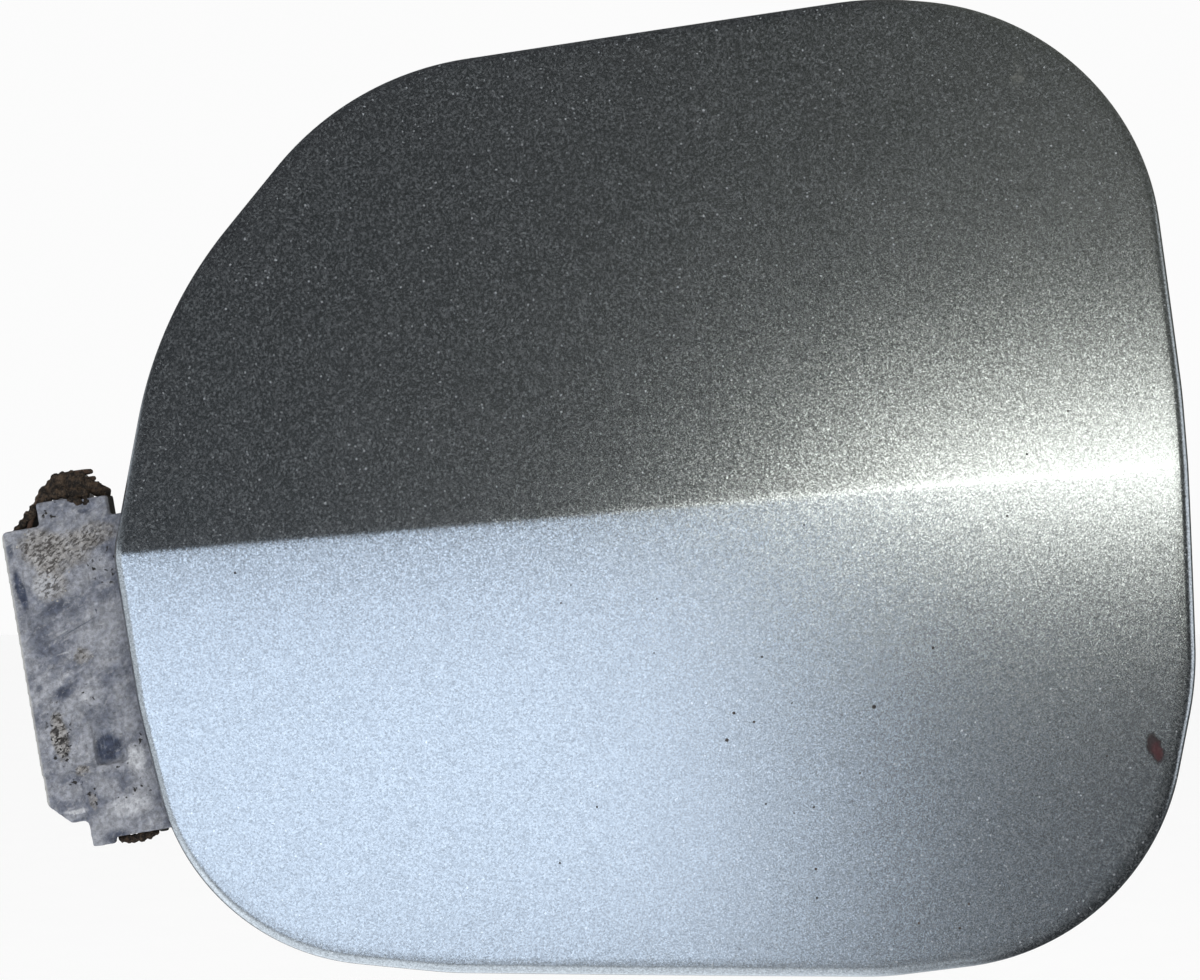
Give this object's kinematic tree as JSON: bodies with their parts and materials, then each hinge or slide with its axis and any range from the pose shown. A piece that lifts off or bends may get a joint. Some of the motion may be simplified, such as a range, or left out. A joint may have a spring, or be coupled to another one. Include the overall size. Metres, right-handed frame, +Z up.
{
  "type": "car fuel door",
  "caption": "Creased steel car fuel door hemmed round a moulded carrier, on a sprung hinge arm with its pin, spring and screw-on bracket; slotted latch striker and bump stops behind.",
  "frame": {"origin": "midway between the two screw holes of the hinge bracket, on the bracket's back face", "axes": "+Z up, +Y into the car along the bracket's screws, +X from the hinge towards the latch; the panel's painted face looks towards -Y"},
  "size_m": [0.2082, 0.0344, 0.173],
  "materials": {
    "body_paint": "dark grey metallic paint under clear coat, with tar specks, a chip and light scuffs",
    "carrier_plastic": "black moulded plastic, fine grain",
    "arm_plastic": "black moulded plastic greyed by dried mud",
    "bracket_plastic": "black moulded plastic, dusty",
    "pin_steel": "steel, dull and rusting",
    "spring_steel": "spring wire, brown with rust",
    "screw_zinc": "zinc plated, dulled",
    "striker_zinc": "zinc plated pressed steel",
    "stop_rubber": "black rubber"
  },
  "bodies": {
    "bracket": {"hinge_bracket": "bracket_plastic"},
    "door": {"outer_panel": "body_paint", "inner_carrier": "carrier_plastic", "hinge_arm": "arm_plastic", "hinge_pin": "pin_steel", "pin_clip": "pin_steel", "closing_spring": "spring_steel", "upper_bump_stop": "stop_rubber", "lower_bump_stop": "stop_rubber", "latch_striker": "striker_zinc", "screws": "screw_zinc"}
  },
  "joints": [
    {"name": "door_hinge", "type": "hinge", "parent": "bracket", "child": "door", "pos_m": [-0.0138, -0.019, -0.00233], "axis": [0.1668, 0, -0.986], "range_deg": [0, 90], "stiffness_Nm_per_rad": 0.06, "springref_deg": -103.13, "deforming": ["closing_spring"]}
  ]
}
